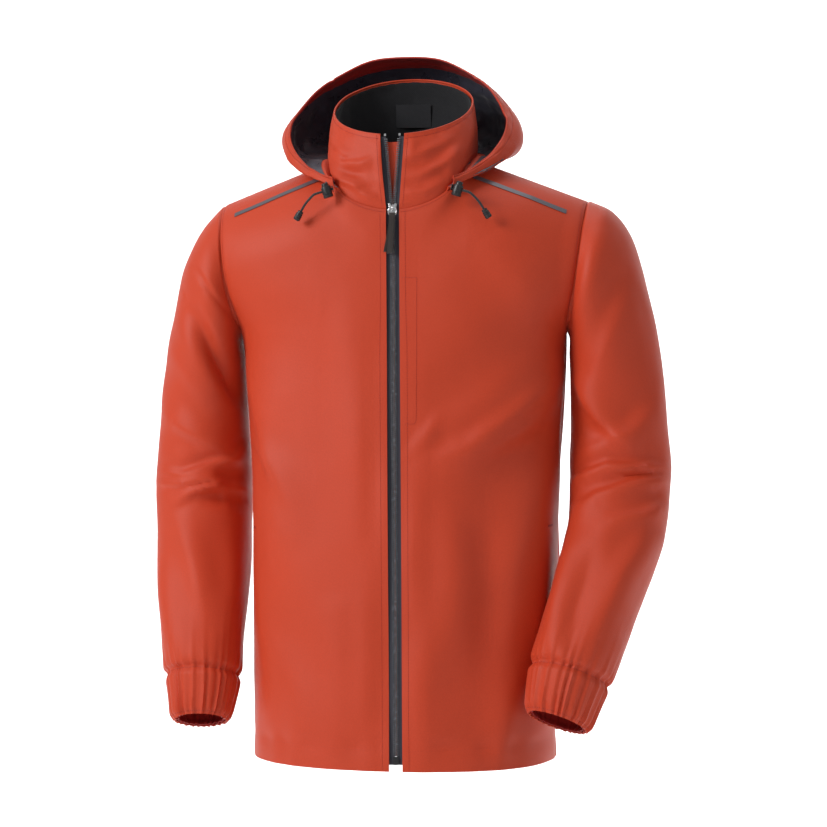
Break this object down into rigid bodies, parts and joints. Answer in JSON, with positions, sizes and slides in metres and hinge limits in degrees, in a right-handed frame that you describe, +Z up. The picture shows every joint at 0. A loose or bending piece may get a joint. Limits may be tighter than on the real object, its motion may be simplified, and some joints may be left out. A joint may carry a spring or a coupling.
{
  "type": "foul weather jacket",
  "caption": "Hooded foul weather jacket in worn shape: lined shell, stand collar, set-in sleeves with elastic cuffs, zip front and hood drawcord with toggles.",
  "frame": {"origin": "underside of the hang loop's apex inside the back of the neck, where a coat hook carries the jacket", "axes": "+Z up, -Y out of the front of the jacket, +X towards the wearer's left sleeve"},
  "size_m": [0.6697, 0.3215, 0.9034],
  "materials": {
    "shell": "matt woven",
    "facing": "matt woven",
    "lining": "plain woven",
    "satin_lining": "satin",
    "collar_lining": "brushed",
    "elastic": "matt",
    "reflective": "glass bead film",
    "label": "smooth woven",
    "tape": "herringbone woven",
    "teeth": "moulded",
    "silver": "polished",
    "puller": "ribbed woven",
    "black_plastic": "moulded",
    "eyelet": "satin",
    "spring": "drawn",
    "cord": "braided"
  },
  "bodies": {
    "jacket": {"front_panel_left": "shell", "front_panel_right": "shell", "back_panel": "shell", "collar_outer": "shell", "storm_flap": "shell", "hood_neck_band": "shell", "hem_facing": "facing", "lining_front_left": "lining", "lining_front_right": "lining", "lining_back": "lining", "hand_pocket_bag_left": "lining", "hand_pocket_bag_right": "lining", "inner_pocket_bag": "lining", "collar_lining": "collar_lining", "hang_loop": "collar_lining", "hem_elastic": "elastic", "reflective_strip_left": "reflective", "reflective_strip_right": "reflective", "neck_label": "label", "zip_tape_left": "tape", "zip_tape_right": "tape", "inner_pocket_zip": "tape", "zip_chain_left": "teeth", "zip_chain_right": "teeth", "zip_top_stop_left": "teeth", "zip_top_stop_right": "teeth", "zip_insertion_pin": "teeth", "zip_retainer_box": "black_plastic", "drawcord_end_left": "black_plastic", "drawcord_end_right": "black_plastic", "hood_eyelet_left": "eyelet", "hood_eyelet_right": "eyelet", "drawcord_tail_left": "cord", "drawcord_tail_right": "cord"},
    "slider": {"zip_slider": "silver"},
    "puller": {"zip_puller_link": "silver", "zip_puller_tape": "puller"},
    "inner_slider": {"inner_pocket_slider": "black_plastic"},
    "sleeve_left": {"sleeve_shell_left": "shell", "sleeve_lining_left": "lining", "cuff_facing_left": "facing", "cuff_elastic_left": "elastic"},
    "sleeve_right": {"sleeve_shell_right": "shell", "sleeve_lining_right": "lining", "cuff_facing_right": "facing", "cuff_elastic_right": "elastic"},
    "hood": {"hood_crown": "shell", "hood_side_left": "shell", "hood_side_right": "shell", "hood_brim_facing": "facing", "hood_lining": "satin_lining"},
    "lock_left": {"cord_lock_barrel_left": "black_plastic", "cord_lock_spring_left": "spring"},
    "lock_right": {"cord_lock_barrel_right": "black_plastic", "cord_lock_spring_right": "spring"},
    "button_left": {"cord_lock_button_left": "black_plastic"},
    "button_right": {"cord_lock_button_right": "black_plastic"}
  },
  "joints": [
    {"name": "zip_slide", "type": "slide", "parent": "jacket", "child": "slider", "axis": [-0.016, 0.0678, 0.9976], "range_m": [-0.655, 0.07]},
    {"name": "puller_hinge", "type": "hinge", "parent": "slider", "child": "puller", "pos_m": [-0.00002, -0.19031, -0.0997], "axis": [-0.9999, -0.0005, -0.016], "range_deg": [0, 110]},
    {"name": "inner_pocket_slide", "type": "slide", "parent": "jacket", "child": "inner_slider", "axis": [0, 0, -1], "range_m": [0, 0.16]},
    {"name": "sleeve_raise_left", "type": "hinge", "parent": "jacket", "child": "sleeve_left", "pos_m": [0.236, -0.07234, -0.083], "axis": [0, -1, 0], "range_deg": [0, 60]},
    {"name": "sleeve_raise_right", "type": "hinge", "parent": "jacket", "child": "sleeve_right", "pos_m": [-0.236, -0.07234, -0.083], "axis": [0, 1, 0], "range_deg": [0, 60]},
    {"name": "hood_lift", "type": "hinge", "parent": "jacket", "child": "hood", "pos_m": [0, -0.18164, -0.0796], "axis": [1, 0, 0], "range_deg": [0, 35]},
    {"name": "lock_slide_left", "type": "slide", "parent": "jacket", "child": "lock_left", "axis": [0.9324, -0.2005, -0.3008], "range_m": [0, 0.006]},
    {"name": "lock_slide_right", "type": "slide", "parent": "jacket", "child": "lock_right", "axis": [-0.9324, -0.2005, -0.3008], "range_m": [0, 0.006]},
    {"name": "button_press_left", "type": "slide", "parent": "lock_left", "child": "button_left", "axis": [-0.294, 0.0632, -0.9537], "range_m": [0, 0.002], "stiffness_N_per_m": 200, "springref_m": -0.002},
    {"name": "button_press_right", "type": "slide", "parent": "lock_right", "child": "button_right", "axis": [0.294, 0.0632, -0.9537], "range_m": [0, 0.002], "stiffness_N_per_m": 200, "springref_m": -0.002}
  ]
}
